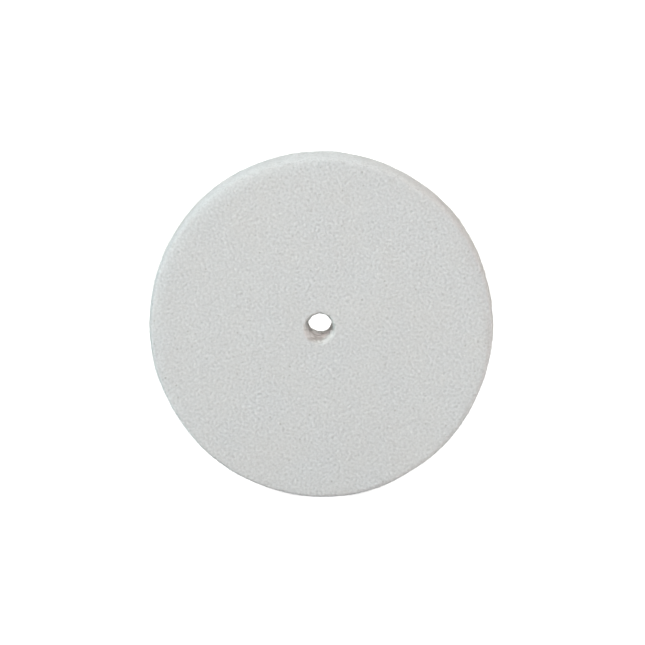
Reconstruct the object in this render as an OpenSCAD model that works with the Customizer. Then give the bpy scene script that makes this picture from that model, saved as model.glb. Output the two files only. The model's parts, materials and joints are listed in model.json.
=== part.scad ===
// Felt polishing wheel: one disc of hard pressed wool felt with a punched arbor bore.
// Sizes are in millimetres. The origin is the wheel's centre, it spins about Y, Z is up
// and its front face looks along -Y.

/* [Wheel] */
// Outside diameter
wheel_d = 150; // [80:5:300]
// Thickness from face to face
wheel_t = 25; // [15:1:50]
// Round-over between each face and the rim
edge_round = 4; // [1:0.5:7]

/* [Arbor bore] */
// Diameter of the straight bore that the arbor passes through
bore_d = 11; // [6:0.5:25]
// How far the front mouth opens out beyond the bore's wall
mouth_flare = 1.5; // [0.5:0.25:4]
// How far the front mouth's flare runs into the wheel
mouth_depth = 9; // [4:0.5:12]
// Round-over where the bore meets the back face
back_mouth_round = 1.5; // [0.5:0.25:2.5]

/* [Smoothness] */
// Segments in a full circle
segments = 180; // [60:12:360]

/* [Hidden] */
wheel_r = wheel_d / 2;
half_t = wheel_t / 2;
bore_r = bore_d / 2;
// The flare's arc is tangent to the bore's wall at mouth_depth, and is mouth_flare wider at the face
flare_r = (mouth_flare * mouth_flare + mouth_depth * mouth_depth) / (2 * mouth_flare);
// How far a cutting shape runs past the face that it cuts
overrun = 1;
felt_white = [0.86, 0.86, 0.84];

// Half of the blank's section, from the spin axis out to the rim, with both edges rounded
module blank_section() {
  edge_x = wheel_r - edge_round;
  edge_y = half_t - edge_round;
  translate([0, -half_t]) square([edge_x, wheel_t]);
  translate([0, -edge_y]) square([wheel_r, 2 * edge_y]);
  for (side = [-1, 1])
    translate([edge_x, side * edge_y]) circle(r = edge_round);
}

// Section of the space that widens a bore to its mouth in the face at half_t: all that lies between
// the bore's wall and an arc of the given radius, tangent to that wall at the given depth
module mouth_section(arc_r, width, depth) {
  difference() {
    translate([bore_r - overrun, half_t - depth]) square([width + overrun, depth]);
    translate([bore_r + arc_r, half_t - depth]) circle(r = arc_r);
  }
}

// Section of everything that is cut out along the spin axis
module bore_section() {
  translate([0, -half_t - overrun]) square([bore_r, wheel_t + 2 * overrun]);
  mouth_section(flare_r, mouth_flare, mouth_depth);
  mirror([0, 1]) mouth_section(back_mouth_round, back_mouth_round, back_mouth_round);
}

module felt_wheel() {
  color(felt_white)
    rotate([90, 0, 0])
      rotate_extrude($fn = segments)
        difference() {
          blank_section($fn = segments);
          bore_section($fn = segments);
        }
}

felt_wheel();
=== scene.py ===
import json
import math

import bpy
import numpy as np
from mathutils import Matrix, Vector

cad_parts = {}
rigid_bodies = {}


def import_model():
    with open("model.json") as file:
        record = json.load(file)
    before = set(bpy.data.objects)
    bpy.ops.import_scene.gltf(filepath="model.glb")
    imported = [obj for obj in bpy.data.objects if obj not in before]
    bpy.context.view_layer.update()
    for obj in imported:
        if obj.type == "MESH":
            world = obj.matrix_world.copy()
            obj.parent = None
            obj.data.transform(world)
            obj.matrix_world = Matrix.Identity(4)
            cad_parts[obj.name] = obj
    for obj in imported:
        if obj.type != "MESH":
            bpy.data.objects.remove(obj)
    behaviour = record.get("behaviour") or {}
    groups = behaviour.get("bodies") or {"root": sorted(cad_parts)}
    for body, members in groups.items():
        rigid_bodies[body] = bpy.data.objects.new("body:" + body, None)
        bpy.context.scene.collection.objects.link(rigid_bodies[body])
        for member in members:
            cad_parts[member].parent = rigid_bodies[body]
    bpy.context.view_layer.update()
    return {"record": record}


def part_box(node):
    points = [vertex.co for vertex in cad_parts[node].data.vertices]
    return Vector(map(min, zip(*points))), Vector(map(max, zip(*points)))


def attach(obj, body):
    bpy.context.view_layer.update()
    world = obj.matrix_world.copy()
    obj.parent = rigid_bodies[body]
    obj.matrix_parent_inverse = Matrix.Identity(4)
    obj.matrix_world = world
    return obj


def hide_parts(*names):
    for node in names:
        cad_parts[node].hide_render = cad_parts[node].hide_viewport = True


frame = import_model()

# Felt polishing wheel: a disc of hard pressed wool felt with a punched arbor bore.
# Shapes are worked out in millimetres and put into the meshes in metres.
mm = 0.001

wheelLow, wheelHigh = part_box("felt_wheel")
boreMount = [m for m in frame["record"]["mounts"] if m["name"] == "bore"][0]
boreMiddle = boreMount["pos_m"][1] / mm
boreHalf = boreMount["dims"]["length_mm"] / 2

wheel = {
    "radius": (wheelHigh[0] - wheelLow[0]) / 2 / mm,
    "halfThick": (wheelHigh[1] - wheelLow[1]) / 2 / mm,
    "edgeRound": 2.2,         # round-over between each face and the rim
    "boreRadius": boreMount["dims"]["r_mm"],
    "boreStart": boreMiddle - boreHalf,    # where the bore's straight wall begins, along Y
    "boreEnd": boreMiddle + boreHalf,
    "mouthFlare": 1.5,        # how much wider the front mouth is at the face
    "lipRound": 0.7,          # softness of the front mouth's lip
    "turns": 510,             # steps round the wheel
    "faceStep": 1.15,         # spacing of the rows on the flat faces
    "rimStep": 1.0,
    "boreStep": 1.1,
    "arcSteps": {"edge": 12, "lip": 5, "flare": 9, "backMouth": 6},
}

# Depth of the felt's unevenness, each with the size of its lumps, in mm
relief = {
    "slump": {"size": 46.0, "depth": 0.10, "waves": 14, "seed": 3},
    "press": {"size": 15.0, "depth": 0.045, "waves": 22, "seed": 11},
    "lump": {"size": 5.6, "depth": 0.012, "waves": 40, "seed": 23},
    "grain": {"size": 2.7, "depth": 0.010, "waves": 60, "seed": 37},
    "fold": {"size": 3.6, "depth": 0.10, "waves": 30, "seed": 58},    # in the bore only
    "boreReach": (1.0, 5.0),  # how far out from the bore's wall the folds begin and end to fade,
    "boreCalm": 0.6,          # and how much weaker the slow unevenness is beside the wall
    "rimReach": 3.0,          # how far in from the rim its roughness fades,
    "rimExtra": 1.6,          # and how much rougher it is than the faces
    "boreSpread": -0.08,      # the wool swells into the punched hole by this much,
    "boreOval": -0.06,        # and a little more sideways than up and down,
    "wallReach": (1.0, 2.5),  # fading out over this stretch of the mouths
    # how far the rim's centre lies off the bore's, and by how much and towards which angle the rim
    # bulges in two and in three lobes
    "runOut": {"right": 0.50, "up": -0.15},
    "lobes": {2: {"depth": 0.20, "towards": 98}, 3: {"depth": 0.25, "towards": 30}},
    "lobeReach": (5, 25),     # going in from the rim, the faces cease to follow it over this stretch
    # how far the front edge is worn back, and how much more so at the top and to the right
    "frontWear": {"even": 0.66, "up": 0.60, "right": -0.28, "width": 5.6},
    "backWear": {"even": 0.40, "up": -0.25, "right": 0.12, "width": 4.8},
    # a shallow crease in the front edge, where the blank was cut: it climbs into the face
    "crease": {"depth": 0.26, "width": 0.65, "start": 0.6, "climb": -0.078,
               "from": -25, "to": 52, "fade": 20},
}


# points on a circle's arc: centre + radius * (cos a, sin a), a even from one angle to the other
def arc(centre, radius, fromDeg, toDeg, steps):
    a = np.radians(np.linspace(fromDeg, toDeg, steps + 1))
    return np.column_stack([centre[0] + radius * np.cos(a), centre[1] + radius * np.sin(a)])


# points on a straight line: start * (1 - t) + end * t, t even from 0 to 1
def line(start, end, step):
    count = max(1, int(round(math.dist(start, end) / step)))
    t = np.linspace(0, 1, count + 1)[:, None]
    return np.array(start) * (1 - t) + np.array(end) * t


# The wheel's closed section as (r, y) rows: front face outwards, rim, back face inwards, bore.
# Each stretch is tangent to the next one. The lip's circle touches the face and, from inside,
# the flare's circle, which gives the place of its centre by Pythagoras.
def sectionLoop(w, fine=1):
    outer, half, edge, hole = w["radius"], w["halfThick"], w["edgeRound"], w["boreRadius"]
    depth, back, lip = w["boreStart"] + half, half - w["boreEnd"], w["lipRound"]
    flare = (w["mouthFlare"] ** 2 + depth ** 2) / (2 * w["mouthFlare"])
    lipX = hole + flare - math.sqrt((flare - lip) ** 2 - (depth - lip) ** 2)
    turn = math.degrees(math.asin((depth - lip) / (flare - lip)))
    n = {k: v * fine for k, v in w["arcSteps"].items()}
    faceStep, rimStep, boreStep = (w[k] / fine for k in ("faceStep", "rimStep", "boreStep"))
    stretches = [
        line((lipX, -half), (outer - edge, -half), faceStep),
        arc((outer - edge, -half + edge), edge, -90, 0, n["edge"]),
        line((outer, -half + edge), (outer, half - edge), rimStep),
        arc((outer - edge, half - edge), edge, 0, 90, n["edge"]),
        line((outer - edge, half), (hole + back, half), faceStep),
        arc((hole + back, half - back), back, 90, 180, n["backMouth"]),
        line((hole, half - back), (hole, -half + depth), boreStep),
        arc((hole + flare, -half + depth), flare, 180, 180 + turn, n["flare"]),
        arc((lipX, -half + lip), lip, 180 + turn, 270, n["lip"]),
    ]
    rows = np.concatenate([s[:-1] for s in stretches])    # each stretch ends where the next begins
    ends = np.cumsum([0] + [len(s) - 1 for s in stretches])
    return rows, ends


fineRows, fineEnds = sectionLoop(wheel, fine=8)
fineLoop = np.vstack([fineRows, fineRows[:1]])
fineAlong = np.concatenate([[0], np.cumsum(np.hypot(*np.diff(fineLoop, axis=0).T))])
loopLength = fineAlong[-1]
# where each stretch of the section begins, as a length along it
stretchStart = dict(zip(
    ("frontFace", "frontEdge", "rim", "backEdge", "backFace", "backMouth", "bore", "flare", "lip", "end"),
    fineAlong[fineEnds]))


# radius, depth and outward normal of the section at length s along it, read off the fine loop
def sectionAt(s):
    s = np.mod(s, loopLength)
    r = np.interp(s, fineAlong, fineLoop[:, 0])
    y = np.interp(s, fineAlong, fineLoop[:, 1])
    gap = 0.05
    ahead, behind = np.mod(s + gap, loopLength), np.mod(s - gap, loopLength)
    dr = np.interp(ahead, fineAlong, fineLoop[:, 0]) - np.interp(behind, fineAlong, fineLoop[:, 0])
    dy = np.interp(ahead, fineAlong, fineLoop[:, 1]) - np.interp(behind, fineAlong, fineLoop[:, 1])
    size = np.hypot(dr, dy)
    return r, y, dy / size, -dr / size


# lumpy field with no pattern to it: the sum of plane waves, all of one wavelength, in random
# directions and phases, scaled so that its usual height is 1
def waves(points, size, count, seed):
    rng = np.random.default_rng(seed)
    way = rng.normal(size=(count, 3))
    way /= np.linalg.norm(way, axis=1)[:, None]
    phase = rng.uniform(0, 2 * np.pi, count)
    total = np.zeros(len(points))
    for k, p in zip(way * (2 * np.pi / size), phase):
        total += np.cos(points @ k + p)
    return total / math.sqrt(count / 2)


def smoothStep(x, low, high):
    t = np.clip((x - low) / (high - low), 0, 1)
    return t * t * (3 - 2 * t)


# how far the skin lies behind the plain section at an edge: a hump, cos squared, over the middle of
# the edge's arc, as high as the wear at that angle
def wornBack(theta, s, wear, arcStart, arcEnd):
    off = np.clip((s - (arcStart + arcEnd) / 2) / wear["width"], -1, 1)
    most = wear["even"] + wear["up"] * np.sin(theta) + wear["right"] * np.cos(theta)
    return most * np.cos(off * np.pi / 2) ** 2


# depth of the crease: a bell across it, fading out at both of its ends
def creased(theta, s, crease):
    degrees = np.degrees((theta + np.pi) % (2 * np.pi) - np.pi)
    middle = stretchStart["frontEdge"] + crease["start"] + crease["climb"] * degrees
    across = (s - middle) / crease["width"]
    begins = smoothStep(degrees, crease["from"], crease["from"] + crease["fade"])
    ends = smoothStep(-degrees, -crease["to"], crease["fade"] - crease["to"])
    return crease["depth"] * begins * ends * np.exp(-across ** 2)


# Point and outward normal of the felt's skin at angle theta and length s along the section.
# The section is swung round Y, then each point is moved along its normal by the relief.
def surfaceAt(theta, s):
    r, y, nr, ny = sectionAt(s)
    c, d = np.cos(theta), np.sin(theta)
    points = np.column_stack([r * c, y, r * d])
    normals = np.column_stack([nr * c, ny, nr * d])
    outOfBore, inFromRim = r - wheel["boreRadius"], wheel["radius"] - r
    nearBore = 1 - smoothStep(outOfBore, *relief["boreReach"])
    nearRim = 1 - smoothStep(inFromRim, 0, relief["rimReach"])
    slow, rough = 1 - relief["boreCalm"] * nearBore, 1 + nearRim * (relief["rimExtra"] - 1)
    strength = {"slump": slow, "press": slow, "lump": rough, "grain": rough, "fold": nearBore}
    move = np.zeros(len(points))
    for name, share in strength.items():
        one = relief[name]
        move += one["depth"] * share * waves(points, one["size"], one["waves"], one["seed"])
    onWall = 1 - smoothStep(outOfBore, *relief["wallReach"])
    move -= onWall * (relief["boreSpread"] + relief["boreOval"] * np.cos(2 * theta))
    s = np.mod(s, loopLength)
    move -= wornBack(theta, s, relief["frontWear"], stretchStart["frontEdge"], stretchStart["rim"])
    move -= wornBack(theta, s, relief["backWear"], stretchStart["backEdge"], stretchStart["backFace"])
    move -= creased(theta, s, relief["crease"])
    outward = relief["runOut"]["right"] * c + relief["runOut"]["up"] * d
    for count, lobe in relief["lobes"].items():
        outward += lobe["depth"] * np.cos(count * (theta - math.radians(lobe["towards"])))
    outward *= 1 - smoothStep(inFromRim, *relief["lobeReach"])
    points += outward[:, None] * np.column_stack([c, 0 * c, d])
    return points + normals * move[:, None], normals


def newObject(name, vertices, faces, material, smooth=True):
    mesh = bpy.data.meshes.new(name)
    mesh.from_pydata(vertices * mm, [], faces)
    mesh.polygons.foreach_set("use_smooth", [smooth] * len(mesh.polygons))
    mesh.materials.append(material)
    mesh.update()
    piece = bpy.data.objects.new(name, mesh)
    bpy.context.scene.collection.objects.link(piece)
    return piece


def addNode(tree, kind, inputs=None, **settings):
    node = tree.nodes.new(kind)
    for key, value in settings.items():
        setattr(node, key, value)
    for key, value in (inputs or {}).items():
        node.inputs[key].default_value = value
    return node


# a Math node on two values, each a socket or a number
def reckon(tree, a, b, how="ADD", clamp=False):
    node = addNode(tree, "ShaderNodeMath", operation=how, use_clamp=clamp)
    for socket, value in zip(node.inputs, (a, b)):
        if isinstance(value, (int, float)):
            socket.default_value = value
        else:
            tree.links.new(value, socket)
    return node.outputs[0]


felt = {
    # the crevice tone is painted shade: the felt is darkened where its wool lies low between the threads
    "creviceShade": (0.571, 0.578, 0.584, 1),
    "fibre": (0.859, 0.870, 0.881, 1),
    "layers": 1.7,            # the wool lies in the plane of the faces, so it is finer along Y
    "warpSize": 2.4, "warpReach": 0.5,
    "matCoarse": 2.0, "matFine": 1.2,
    "ripples": 1.2,           # how many ripples of the matting run side by side
    "tuftSize": 0.98, "tuftRange": (0.25, 0.75),
    "threadSize": 1.0, "threadSharp": 4.0, "threadRough": 0.55,
    "strandWide": 0.55, "strandLong": 4.0, "strandSharp": 6.0,
    "strandTurns": ((0.3, 0.2, 0.1), (0.2, 1.25, 0.4), (1.4, 0.5, 2.2)),
    "faceLevel": -0.42, "faceShares": (0.97, 0.52, 0.14, 0.20),     # coarse, fine, threads, strands
    "sideLevel": -0.14, "sideShares": (0.75, 0.45, 0.35),           # tufts, threads, strands
    "faceFade": (1.6, 0.6),   # how deep under the faces the side's wool gives way to theirs
    "warm": (0.79, 0.765, 0.73, 1), "warmth": 0.20,
    "driftSize": 17.0, "driftRange": (0.35, 0.75),
    "speckEvery": 4.5, "speckSize": 0.55, "speckCore": 0.4,         # full out to this share of its size
    # dark specks are in the cells that draw less than their share, pale ones in those that draw more
    "grit": (0.38, 0.36, 0.33, 1), "gritShare": 0.30, "gritStrength": 0.45,
    "neps": (0.95, 0.95, 0.94, 1), "nepsShare": 0.55, "nepsStrength": 0.55,
    "borePaintedLight": (0.93, 0.92, 0.91, 1), "paintedLightShare": 0.9,       # painted light: the bore's wall is made paler to stand for the light that seeps in
    "boreFade": (0.5, 2.1),   # how far out from the bore's wall this begins and ends to fade
    # the wool's layers, cut through by the bore, and pits drawn out along it
    "seamSize": 3.0, "seamTurn": 0.50, "seamLay": (0.22, 0, 0.1), "seamRange": (0.54, 0.64),
    "pitSize": 1.2, "pitLong": 4.0, "pitLay": (0.3, 0, 0), "pitRange": (0.58, 0.68),
    "seamDark": 0.50, "seamDeep": 0.9,
    "bump": 0.9, "bumpDepth": 0.34,
    "sheen": 0.12, "sheenRough": 0.55,
    "rough": (0.86, 1.0), "roughFrom": (0.2, 0.9),    # roughness between these two heights
    "diffuseRough": 1.0, "specular": 0.22,
}


def noiseAt(tree, vector, size, detail=0.0):
    node = addNode(tree, "ShaderNodeTexNoise", {"Scale": 1 / (size * mm), "Detail": detail})
    tree.links.new(vector, node.inputs["Vector"])
    return node


# winding threads: noise folded about its middle, 1 - |n - 1/2| * sharp, is high along thin lines
def ridges(tree, vector, size, sharp):
    noise = noiseAt(tree, vector, size, 1.0)
    noise.inputs["Roughness"].default_value = felt["threadRough"]
    away = reckon(tree, noise.outputs["Fac"], 0.5, "SUBTRACT")
    away = reckon(tree, away, 0, "ABSOLUTE")
    return reckon(tree, 1.0, reckon(tree, away, sharp, "MULTIPLY"), "SUBTRACT", clamp=True)


# a value moved from one range to another and held inside it
def ranged(tree, value, low, high, toLow=0.0, toHigh=1.0):
    node = addNode(tree, "ShaderNodeMapRange",
                   {"From Min": low, "From Max": high, "To Min": toLow, "To Max": toHigh})
    tree.links.new(value, node.inputs["Value"])
    return node.outputs[0]


def stretched(tree, vector, scale, turn=(0, 0, 0)):
    node = addNode(tree, "ShaderNodeMapping", {"Rotation": turn, "Scale": scale}, vector_type="POINT")
    tree.links.new(vector, node.inputs["Vector"])
    return node.outputs[0]


def blended(tree, factor, under, over):
    node = addNode(tree, "ShaderNodeMix", data_type="RGBA")
    tree.links.new(factor, node.inputs["Factor"])
    for socket, colour in ((node.inputs["A"], under), (node.inputs["B"], over)):
        if isinstance(colour, tuple):
            socket.default_value = colour
        else:
            tree.links.new(colour, socket)
    return node.outputs["Result"]


# coordinates pushed about by a slower noise, so that threads wander
def wandering(tree, place, size, reach):
    centred = addNode(tree, "ShaderNodeVectorMath", operation="SUBTRACT")
    tree.links.new(noiseAt(tree, place, size, 1.0).outputs["Color"], centred.inputs[0])
    centred.inputs[1].default_value = (0.5, 0.5, 0.5)
    pushed = addNode(tree, "ShaderNodeVectorMath", {"Scale": reach * 2 * mm}, operation="SCALE")
    tree.links.new(centred.outputs[0], pushed.inputs[0])
    total = addNode(tree, "ShaderNodeVectorMath", operation="ADD")
    tree.links.new(place, total.inputs[0])
    tree.links.new(pushed.outputs[0], total.inputs[1])
    return total.outputs[0]


# long thin strands lying three ways across each other: the highest one shows
def strands(tree, place):
    highest = None
    for turn in felt["strandTurns"]:
        lay = stretched(tree, place, (1, 1, felt["strandWide"] / felt["strandLong"]), turn)
        one = ridges(tree, lay, felt["strandWide"], felt["strandSharp"])
        highest = one if highest is None else reckon(tree, highest, one, "MAXIMUM")
    return highest


# rippled noise of one wavelength: it winds about like matted wool, and has no larger clouds in it
def matted(tree, place, size):
    ripples = felt["ripples"]
    node = addNode(tree, "ShaderNodeTexGabor", gabor_type="2D", inputs={
        "Scale": 1 / (ripples * size * mm), "Frequency": ripples, "Anisotropy": 0.0})
    tree.links.new(place, node.inputs["Vector"])
    return node.outputs["Value"]


# level + the sum of each part times its share
def piled(tree, level, parts, shares):
    height = level
    for part, share in zip(parts, shares):
        height = reckon(tree, height, reckon(tree, part, share, "MULTIPLY"))
    return height


# height of the wool on a face: coarse and fine matting, with threads and long strands over it
def faceHeight(tree, place):
    f = felt
    parts = (matted(tree, place, f["matCoarse"]), matted(tree, place, f["matFine"]),
             ridges(tree, place, f["threadSize"], f["threadSharp"]), strands(tree, place))
    return piled(tree, f["faceLevel"], parts, f["faceShares"])


# height of the wool on the rim and in the bore: tufts, threads between them and long strands
def sideHeight(tree, place):
    f = felt
    tufts = ranged(tree, noiseAt(tree, place, f["tuftSize"]).outputs["Fac"], *f["tuftRange"])
    parts = (tufts, ridges(tree, place, f["threadSize"], f["threadSharp"]), strands(tree, place))
    return piled(tree, f["sideLevel"], parts, f["sideShares"])


# Darker between the threads, lighter on them: painted shade in the crevices. The tone drifts slowly
# towards a warmer one, with a few specks: some cells of a scatter hold a dark one, and more hold a pale
# one.
def feltColour(tree, place, height):
    f = felt
    # painted shade: the crevice tone in the low places, the fibre tone on the high ones
    colour = blended(tree, height, f["creviceShade"], f["fibre"])
    drift = noiseAt(tree, place, f["driftSize"], 3.0).outputs["Fac"]
    colour = blended(tree, ranged(tree, drift, *f["driftRange"], 0.0, f["warmth"]), colour, f["warm"])
    scatter = addNode(tree, "ShaderNodeTexVoronoi", {"Scale": 1 / (f["speckEvery"] * mm)})
    tree.links.new(place, scatter.inputs["Vector"])
    size = f["speckSize"] / f["speckEvery"]
    spot = ranged(tree, scatter.outputs["Distance"], size * f["speckCore"], size, 1.0, 0.0)
    draw = addNode(tree, "ShaderNodeSeparateColor")
    tree.links.new(scatter.outputs["Color"], draw.inputs[0])
    for kind, how in (("grit", "LESS_THAN"), ("neps", "GREATER_THAN")):
        chosen = reckon(tree, draw.outputs[0], f[kind + "Share"], how)
        shown = reckon(tree, reckon(tree, chosen, spot, "MULTIPLY"), f[kind + "Strength"], "MULTIPLY")
        colour = blended(tree, shown, colour, f[kind])
    return colour


# 1 inside the bore and 0 on the faces, from the distance to the axis
def insideBore(tree, place):
    flatPlace = addNode(tree, "ShaderNodeVectorMath", operation="MULTIPLY")
    tree.links.new(place, flatPlace.inputs[0])
    flatPlace.inputs[1].default_value = (1, 0, 1)
    away = addNode(tree, "ShaderNodeVectorMath", operation="LENGTH")
    tree.links.new(flatPlace.outputs[0], away.inputs[0])
    near, far = ((wheel["boreRadius"] + reach) * mm for reach in felt["boreFade"])
    return ranged(tree, away.outputs["Value"], near, far, 1.0, 0.0)


# where the bore's wall shows a seam or a pit: the stronger of the two noises, each cut at its range
def boreSeams(tree, place):
    f = felt
    across = stretched(tree, place, (f["seamTurn"], 1, f["seamTurn"]), f["seamLay"])
    seams = ranged(tree, noiseAt(tree, across, f["seamSize"]).outputs["Fac"], *f["seamRange"])
    along = stretched(tree, place, (1, 1 / f["pitLong"], 1), f["pitLay"])
    pits = ranged(tree, noiseAt(tree, along, f["pitSize"]).outputs["Fac"], *f["pitRange"])
    return reckon(tree, seams, pits, "MAXIMUM")


# Height of the wool everywhere: side + onFlat * (face - side). The faces are matted in their own
# plane, and the rim and the bore in layers that run round them.
def woolHeight(tree, place):
    apart = addNode(tree, "ShaderNodeSeparateXYZ")
    tree.links.new(place, apart.inputs[0])
    onFace = addNode(tree, "ShaderNodeCombineXYZ")
    for source, target in (("X", "X"), ("Z", "Y"), ("Y", "Z")):
        tree.links.new(apart.outputs[source], onFace.inputs[target])
    face = faceHeight(tree, onFace.outputs[0])
    layered = stretched(tree, place, (1, felt["layers"], 1))
    side = sideHeight(tree, wandering(tree, layered, felt["warpSize"], felt["warpReach"]))
    depth = reckon(tree, apart.outputs["Y"], 0, "ABSOLUTE")
    onFlat = ranged(tree, depth, *((wheel["halfThick"] - fade) * mm for fade in felt["faceFade"]))
    return reckon(tree, side, reckon(tree, onFlat, reckon(tree, face, side, "SUBTRACT"), "MULTIPLY"))


def feltMaterial():
    material = bpy.data.materials.new("pressed_felt")
    material.use_nodes = True
    tree = material.node_tree
    shader = tree.nodes["Principled BSDF"]
    f = felt
    place = addNode(tree, "ShaderNodeTexCoord").outputs["Object"]
    height = woolHeight(tree, place)
    colour = feltColour(tree, place, height)
    inBore = insideBore(tree, place)
    seams = reckon(tree, boreSeams(tree, place), inBore, "MULTIPLY")
    # painted light: inside the bore the colour is blended towards a paler tone, for the light that seeps
    # in
    colour = blended(tree, reckon(tree, inBore, f["paintedLightShare"], "MULTIPLY"), colour, f["borePaintedLight"])
    colour = blended(tree, reckon(tree, seams, f["seamDark"], "MULTIPLY"), colour, f["grit"])
    tree.links.new(colour, shader.inputs["Base Color"])
    height = reckon(tree, height, reckon(tree, seams, -f["seamDeep"], "MULTIPLY"))
    bump = addNode(tree, "ShaderNodeBump", {"Strength": f["bump"], "Distance": f["bumpDepth"] * mm})
    tree.links.new(height, bump.inputs["Height"])
    tree.links.new(bump.outputs[0], shader.inputs["Normal"])
    tree.links.new(ranged(tree, height, *f["roughFrom"], *f["rough"]), shader.inputs["Roughness"])
    shader.inputs["Diffuse Roughness"].default_value = f["diffuseRough"]
    shader.inputs["Specular IOR Level"].default_value = f["specular"]
    shader.inputs["Sheen Weight"].default_value = f["sheen"]
    shader.inputs["Sheen Roughness"].default_value = f["sheenRough"]
    return material


feltSurface = feltMaterial()
print("felt material:", len(feltSurface.node_tree.nodes), "nodes")


# how the skin is laid out flat in the bake map: where each stretch starts, and its scale per mm
flat = {
    "frontAt": (0.25, 0.75), "backAt": (0.75, 0.75), "faceScale": 0.00318,
    "rimAt": (0.02, 0.02), "rimGap": 0.14, "rimAlong": 0.00400, "rimAcross": 0.0050,
    "boreAt": (0.02, 0.30), "boreAlong": 0.0200, "boreAcross": 0.0051,
}


# a disc about a centre in the bake map, from an angle and a distance from the axis
def onDisc(centre, fromAxis, angle):
    reach = flat["faceScale"] * fromAxis
    return np.stack([centre[0] + reach * np.cos(angle), centre[1] + reach * np.sin(angle)], axis=-1)


# Places in the bake map of faces' corners, given as (angle, length along the section).
# Each face of the wheel is a disc, whose radius is the length from the bore. The rim is two strips,
# one for each half turn, and the bore is one strip. Each face goes where its middle lies.
def flatPlaces(corners):
    angle, along = corners[..., 0], corners[..., 1]
    middle = along.mean(axis=1, keepdims=True)
    halfTurn = (angle.mean(axis=1, keepdims=True) > np.pi) * 1.0
    lip, frontOut, backOut, backIn = ((stretchStart[a] + stretchStart[b]) / 2 for a, b in (
        ("lip", "end"), ("frontEdge", "rim"), ("backEdge", "backFace"), ("backMouth", "bore")))
    fromLip = np.where(middle > lip, along - loopLength, along)
    front = onDisc(flat["frontAt"], fromLip + wheel["boreRadius"] + wheel["mouthFlare"], angle)
    back = onDisc(flat["backAt"], backIn - along + wheel["boreRadius"], angle)
    turned = (angle - halfTurn * np.pi) * wheel["radius"]
    rim = np.stack([
        flat["rimAt"][0] + flat["rimAlong"] * turned,
        flat["rimAt"][1] + flat["rimGap"] * halfTurn + flat["rimAcross"] * (along - frontOut)], axis=-1)
    bore = np.stack([
        flat["boreAt"][0] + flat["boreAlong"] * angle * wheel["boreRadius"],
        flat["boreAt"][1] + flat["boreAcross"] * (along - backIn)], axis=-1)
    isFront = (middle < frontOut) | (middle > lip)
    places = np.where((middle < backIn)[..., None], back, bore)
    places = np.where((middle < backOut)[..., None], rim, places)
    return np.where(isFront[..., None], front, places)


# the closed skin of the wheel: a grid of angle by length along the section, joined both ways
def feltBody():
    rows, _ = sectionLoop(wheel)
    loop = np.vstack([rows, rows[:1]])
    along = np.concatenate([[0], np.cumsum(np.hypot(*np.diff(loop, axis=0).T))])
    s = along[:-1] * (loopLength / along[-1])
    theta = np.arange(wheel["turns"]) * (2 * np.pi / wheel["turns"])
    a, b = np.meshgrid(theta, s, indexing="ij")
    points, _ = surfaceAt(a.ravel(), b.ravel())
    m, n = len(theta), len(s)
    i, j = np.meshgrid(np.arange(m), np.arange(n), indexing="ij")
    ahead, across = (i + 1) % m, (j + 1) % n
    faces = np.stack([i * n + j, i * n + across, ahead * n + across, ahead * n + j], axis=-1)
    faces = faces.reshape(-1, 4)
    piece = newObject("felt_wheel_body", points, faces.tolist(), feltSurface)
    lastAngle = np.append(theta, 2 * np.pi)[(i + 1).ravel()]
    lastLength = np.append(s, loopLength)[(j + 1).ravel()]
    corners = np.stack([
        np.column_stack([a.ravel(), a.ravel(), lastAngle, lastAngle]),
        np.column_stack([b.ravel(), lastLength, lastLength, b.ravel()])], axis=-1)
    bakeMap = piece.data.uv_layers.new(name="OFBake")
    bakeMap.data.foreach_set("uv", flatPlaces(corners).ravel())
    print("felt body:", m, "by", n, "rows,", 2 * m * n, "triangles")
    return piece


body = feltBody()
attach(body, "root")
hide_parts("felt_wheel")

# Loose ends of wool on the skin. Each patch runs over one stretch of the section: how many hairs,
# their length, how far they stand off the skin, their thickness, and how much they bend, in mm
hairs = {
    "front_face_fibres": {
        "from": "lip", "to": "rim", "count": 7600, "seed": 101,
        "long": (1.6, 4.2), "lift": (0.02, 0.14), "thick": 0.030, "bend": 1.1},
    "rim_fibres": {
        "from": "frontEdge", "to": "backFace", "count": 8200, "seed": 102,
        "long": (1.0, 2.8), "lift": (0.10, 0.95), "thick": 0.028, "bend": 1.0},
    "back_face_fibres": {
        "from": "backEdge", "to": "bore", "count": 7600, "seed": 103,
        "long": (1.6, 4.2), "lift": (0.02, 0.16), "thick": 0.030, "bend": 1.1},
    "bore_fibres": {
        "from": "backMouth", "to": "end", "count": 700, "seed": 104,
        "long": (0.8, 2.6), "lift": (0.03, 0.30), "thick": 0.030, "bend": 1.3},
}

# what all hairs share
hair = {
    "points": 4,              # points along it, each with a ring of three corners
    "root": 0.02,             # how deep it starts under the skin
    "rise": 1.5,              # it stands off by lift * t to this power
    "tip": 0.06,              # how far each pointed end reaches past the last ring
    "spread": (0.7, 1.4),     # thickness is drawn between these shares of the patch's
    "thinEnds": 0.5,          # and is this much less at both ends
    "toneSize": 2.2, "shade": (0.66, 0.655, 0.64, 1), "light": (0.90, 0.905, 0.90, 1),
    "rough": 0.7, "specular": 0.3, "sheen": 0.15,
}


def fibreMaterial():
    material = bpy.data.materials.new("wool_fibre")
    material.use_nodes = True
    tree = material.node_tree
    shader = tree.nodes["Principled BSDF"]
    place = addNode(tree, "ShaderNodeTexCoord").outputs["Object"]
    tone = noiseAt(tree, place, hair["toneSize"], 1.0).outputs["Fac"]
    tree.links.new(blended(tree, tone, hair["shade"], hair["light"]), shader.inputs["Base Color"])
    shader.inputs["Roughness"].default_value = hair["rough"]
    shader.inputs["Specular IOR Level"].default_value = hair["specular"]
    shader.inputs["Sheen Weight"].default_value = hair["sheen"]
    return material


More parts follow.
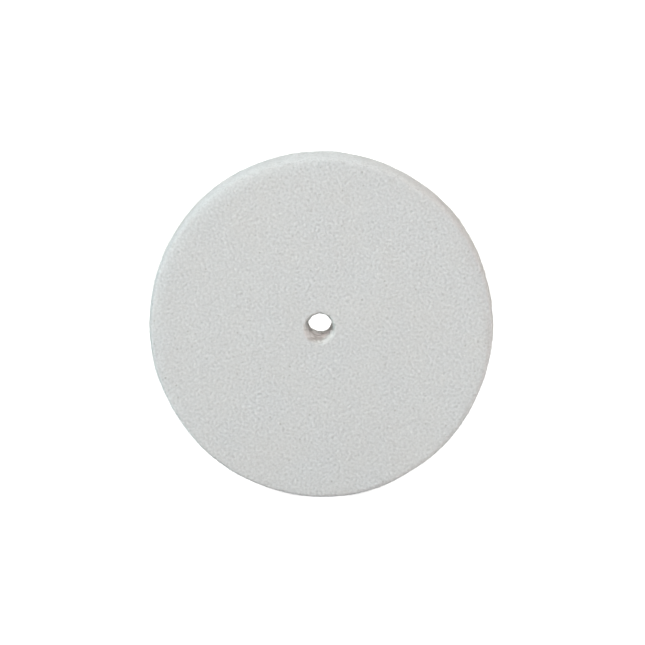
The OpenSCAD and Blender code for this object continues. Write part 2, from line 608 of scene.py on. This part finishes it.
# lengths along the section where hairs start: drawn evenly, and kept in proportion to the radius
# there, because a longer ring of skin holds more of them
def hairStarts(rng, sFrom, sTo, count):
    s = np.zeros(0)
    while len(s) < count:
        tries = rng.uniform(sFrom, sTo, count * 8)
        kept = rng.uniform(0, wheel["radius"], count * 8) < sectionAt(tries)[0]
        s = np.append(s, tries[kept])[:count]
    return s


# Points along each hair, and the skin's normal at its start. It runs off in a direction that turns
# steadily, heading + turning * t, so that it curls, and rises off the skin by lift * t ^ rise.
def hairSpines(rng, patch, s):
    count, points = len(s), hair["points"]
    theta = rng.uniform(0, 2 * np.pi, count)
    heading = rng.uniform(0, 2 * np.pi, count)
    step = rng.uniform(*patch["long"], count) / (points - 1)
    turning = rng.normal(0, patch["bend"], count)
    lift = rng.uniform(*patch["lift"], count)
    spine, up = np.zeros((count, points, 3)), None
    for k in range(points):
        t = k / (points - 1)
        skin, normal = surfaceAt(theta, s)
        up = normal if up is None else up
        spine[:, k] = skin + normal * (lift * t ** hair["rise"] - hair["root"])[:, None]
        way = heading + turning * t
        theta = theta + step * np.cos(way) / np.maximum(sectionAt(s)[0], 1)
        s = s + step * np.sin(way)
    return spine, up


# Corners of each hair: round each point of its spine stands a ring of three, at
# spine + radius * (cos a * side + sin a * top), and a tip lies beyond each end
def hairCorners(rng, patch, spine, up):
    count, points = spine.shape[:2]
    along = np.gradient(spine, axis=1)
    along /= np.linalg.norm(along, axis=2)[..., None]
    side = np.cross(along, up[:, None, :])
    side /= np.linalg.norm(side, axis=2)[..., None]
    top = np.cross(side, along)
    t = np.linspace(0, 1, points)
    radius = patch["thick"] * rng.uniform(*hair["spread"], count)[:, None]
    radius = (radius * (1 - hair["thinEnds"] * (2 * t - 1) ** 2))[..., None]
    turns = (math.pi / 2, math.pi * 7 / 6, math.pi * 11 / 6)
    rings = np.stack([spine + radius * (math.cos(a) * side + math.sin(a) * top) for a in turns], axis=2)
    reach = along * hair["tip"]
    tips = np.stack([spine[:, 0] - reach[:, 0], spine[:, -1] + reach[:, -1]], axis=1)
    return np.concatenate([rings.reshape(count, points * 3, 3), tips], axis=1)


# the faces of all hairs: three quads from each ring to the next, then three triangles to each tip
def hairFaces(count):
    points = hair["points"]
    last = (points - 1) * 3
    pairs = [(c, (c + 1) % 3) for c in range(3)]
    quads = [(k + c, k + d, k + 3 + d, k + 3 + c) for k in range(0, last, 3) for c, d in pairs]
    ends = [(d, c, last + 3) for c, d in pairs] + [(last + c, last + d, last + 4) for c, d in pairs]
    base = (np.arange(count) * (points * 3 + 2))[:, None, None]
    return [f for part, size in ((quads, 4), (ends, 3))
            for f in (base + np.array(part)).reshape(-1, size).tolist()]


# the faces' corners in the bake map, in the same order: each hair has a small cell of its own,
# with its sides unrolled into three strips and its tips above and below them
def hairPlaces(count):
    across = math.ceil(math.sqrt(count))
    cell = np.stack([np.arange(count) % across, np.arange(count) // across], axis=-1) / across
    x = [0.10 + 0.22 * c for c in range(4)]
    y = [0.15 + 0.25 * k for k in range(hair["points"])]
    quads = [[(x[c], y[k]), (x[c + 1], y[k]), (x[c + 1], y[k + 1]), (x[c], y[k + 1])]
             for k in range(hair["points"] - 1) for c in range(3)]
    ends = [[(x[c + 1], 0.14), (x[c], 0.14), (x[c] + 0.11, 0.05)] for c in range(3)]
    ends += [[(x[c], 0.91), (x[c + 1], 0.91), (x[c] + 0.11, 0.98)] for c in range(3)]
    places = [cell[:, None, None] + np.array(part)[None] / across for part in (quads, ends)]
    return np.concatenate([part.ravel() for part in places])


def woolHairs(name, patch, material):
    rng = np.random.default_rng(patch["seed"])
    count = patch["count"]
    sFrom, sTo = stretchStart[patch["from"]], stretchStart[patch["to"]]
    if sTo < sFrom:
        sTo += loopLength
    spine, up = hairSpines(rng, patch, hairStarts(rng, sFrom, sTo, count))
    corners = hairCorners(rng, patch, spine, up)
    piece = newObject(name, corners.reshape(-1, 3), hairFaces(count), material)
    bakeMap = piece.data.uv_layers.new(name="OFBake")
    bakeMap.data.foreach_set("uv", hairPlaces(count))
    print(name + ":", count, "hairs,", len(piece.data.polygons), "faces")
    return piece


woolFibre = fibreMaterial()
for name, patch in hairs.items():
    piece = woolHairs(name, patch, woolFibre)
    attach(piece, "root")

studio = {
    "floorSize": 3.0, "floorTone": 0.5,
    "floorGap": 0.4,          # in mm under the wheel
    "floorGlow": 0.13, "floorSeen": 0.9,      # its own light on the wheel, and as the eye sees it
    "world": 0.15, "worldSeen": 1.05,
}

# soft round lamps: where each stands, how wide it is, its power in watts and its colour
lamps = {
    "key": {"at": (-1.38, -0.82, 1.2), "size": 0.9, "power": 17.0, "colour": (0.72, 0.97, 1.0)},
    "front": {"at": (0.2, -1.7, 1.05), "size": 0.9, "power": 21.5, "colour": (1.0, 0.91, 0.87)},
    "warmBehind": {"at": (1.7, 1.0, 0.2), "size": 0.9, "power": 15.0, "colour": (1.0, 0.93, 0.80)},
    "back": {"at": (-0.5, 2.0, 0.35), "size": 0.9, "power": 18.0, "colour": (1.0, 0.98, 0.97)},
    "leftBack": {"at": (-1.6, 0.9, 0.5), "size": 0.9, "power": 6.0, "colour": (1.0, 0.87, 0.80)},
    "topBack": {"at": (0.45, 1.0, 1.7), "size": 0.9, "power": 11.0, "colour": (0.95, 1.0, 0.96)},
}


def studioFloor():
    half, z = studio["floorSize"] / 2 / mm, -wheel["radius"] - studio["floorGap"]
    corners = np.array([(-half, -half, z), (half, -half, z), (half, half, z), (-half, half, z)])
    material = bpy.data.materials.new("pale_floor")
    material.use_nodes = True
    shader = material.node_tree.nodes["Principled BSDF"]
    shader.inputs["Base Color"].default_value = (studio["floorTone"],) * 3 + (1,)
    shader.inputs["Roughness"].default_value = 1.0
    shader.inputs["Specular IOR Level"].default_value = 0
    shader.inputs["Emission Color"].default_value = (1, 1, 1, 1)
    path = addNode(material.node_tree, "ShaderNodeLightPath").outputs["Is Camera Ray"]
    seen = reckon(material.node_tree, path, studio["floorSeen"] - studio["floorGlow"], "MULTIPLY")
    glow = reckon(material.node_tree, seen, studio["floorGlow"])
    material.node_tree.links.new(glow, shader.inputs["Emission Strength"])
    floor = newObject("studio_floor", corners, [(0, 1, 2, 3)], material, smooth=False)


def softLight(name, at, size, power, colour):
    data = bpy.data.lights.new(name, "AREA")
    data.shape, data.size, data.energy, data.color = "DISK", size, power, colour
    lamp = bpy.data.objects.new(name, data)
    lamp.location = at
    lamp.rotation_euler = (-Vector(at)).to_track_quat("-Z", "Y").to_euler()
    bpy.context.scene.collection.objects.link(lamp)


# pure white to the eye, and a weaker even light on the wheel
def whiteWorld():
    world = bpy.data.worlds.new("studio_white")
    bpy.context.scene.world = world
    world.use_nodes = True
    tree = world.node_tree
    light = tree.nodes["Background"]
    light.inputs["Color"].default_value = (1, 1, 1, 1)
    light.inputs["Strength"].default_value = studio["world"]
    seen = addNode(tree, "ShaderNodeBackground", {"Color": (1, 1, 1, 1), "Strength": studio["worldSeen"]})
    path = addNode(tree, "ShaderNodeLightPath")
    mix = addNode(tree, "ShaderNodeMixShader")
    tree.links.new(path.outputs["Is Camera Ray"], mix.inputs[0])
    tree.links.new(light.outputs[0], mix.inputs[1])
    tree.links.new(seen.outputs[0], mix.inputs[2])
    tree.links.new(mix.outputs[0], tree.nodes["World Output"].inputs["Surface"])


view = {
    "azimuth": 0.6, "elevation": 10.2, "distance": 1.5,
    "across": 0.28265,        # width of the picture at the wheel, in metres
    "aside": 0.0011, "above": 0.00042,
}


def camera():
    a, e = math.radians(view["azimuth"]), math.radians(view["elevation"])
    back = Vector((math.sin(a) * math.cos(e), -math.cos(a) * math.cos(e), math.sin(e)))
    data = bpy.data.cameras.new("camera")
    data.sensor_width = 36
    data.lens = data.sensor_width * view["distance"] / view["across"]
    data.clip_end = 50
    eye = bpy.data.objects.new("camera", data)
    turn = (-back).to_track_quat("-Z", "Y")
    eye.rotation_mode = "QUATERNION"
    eye.rotation_quaternion = turn
    eye.location = back * view["distance"] + turn @ Vector((view["aside"], view["above"], 0))
    bpy.context.scene.collection.objects.link(eye)
    bpy.context.scene.camera = eye


studioFloor()
for name, lamp in lamps.items():
    softLight(name + "_light", **lamp)
whiteWorld()
camera()
bpy.context.scene.view_settings.view_transform = "Standard"
print("studio: a floor,", len(lamps), "lamps, the world and the camera")
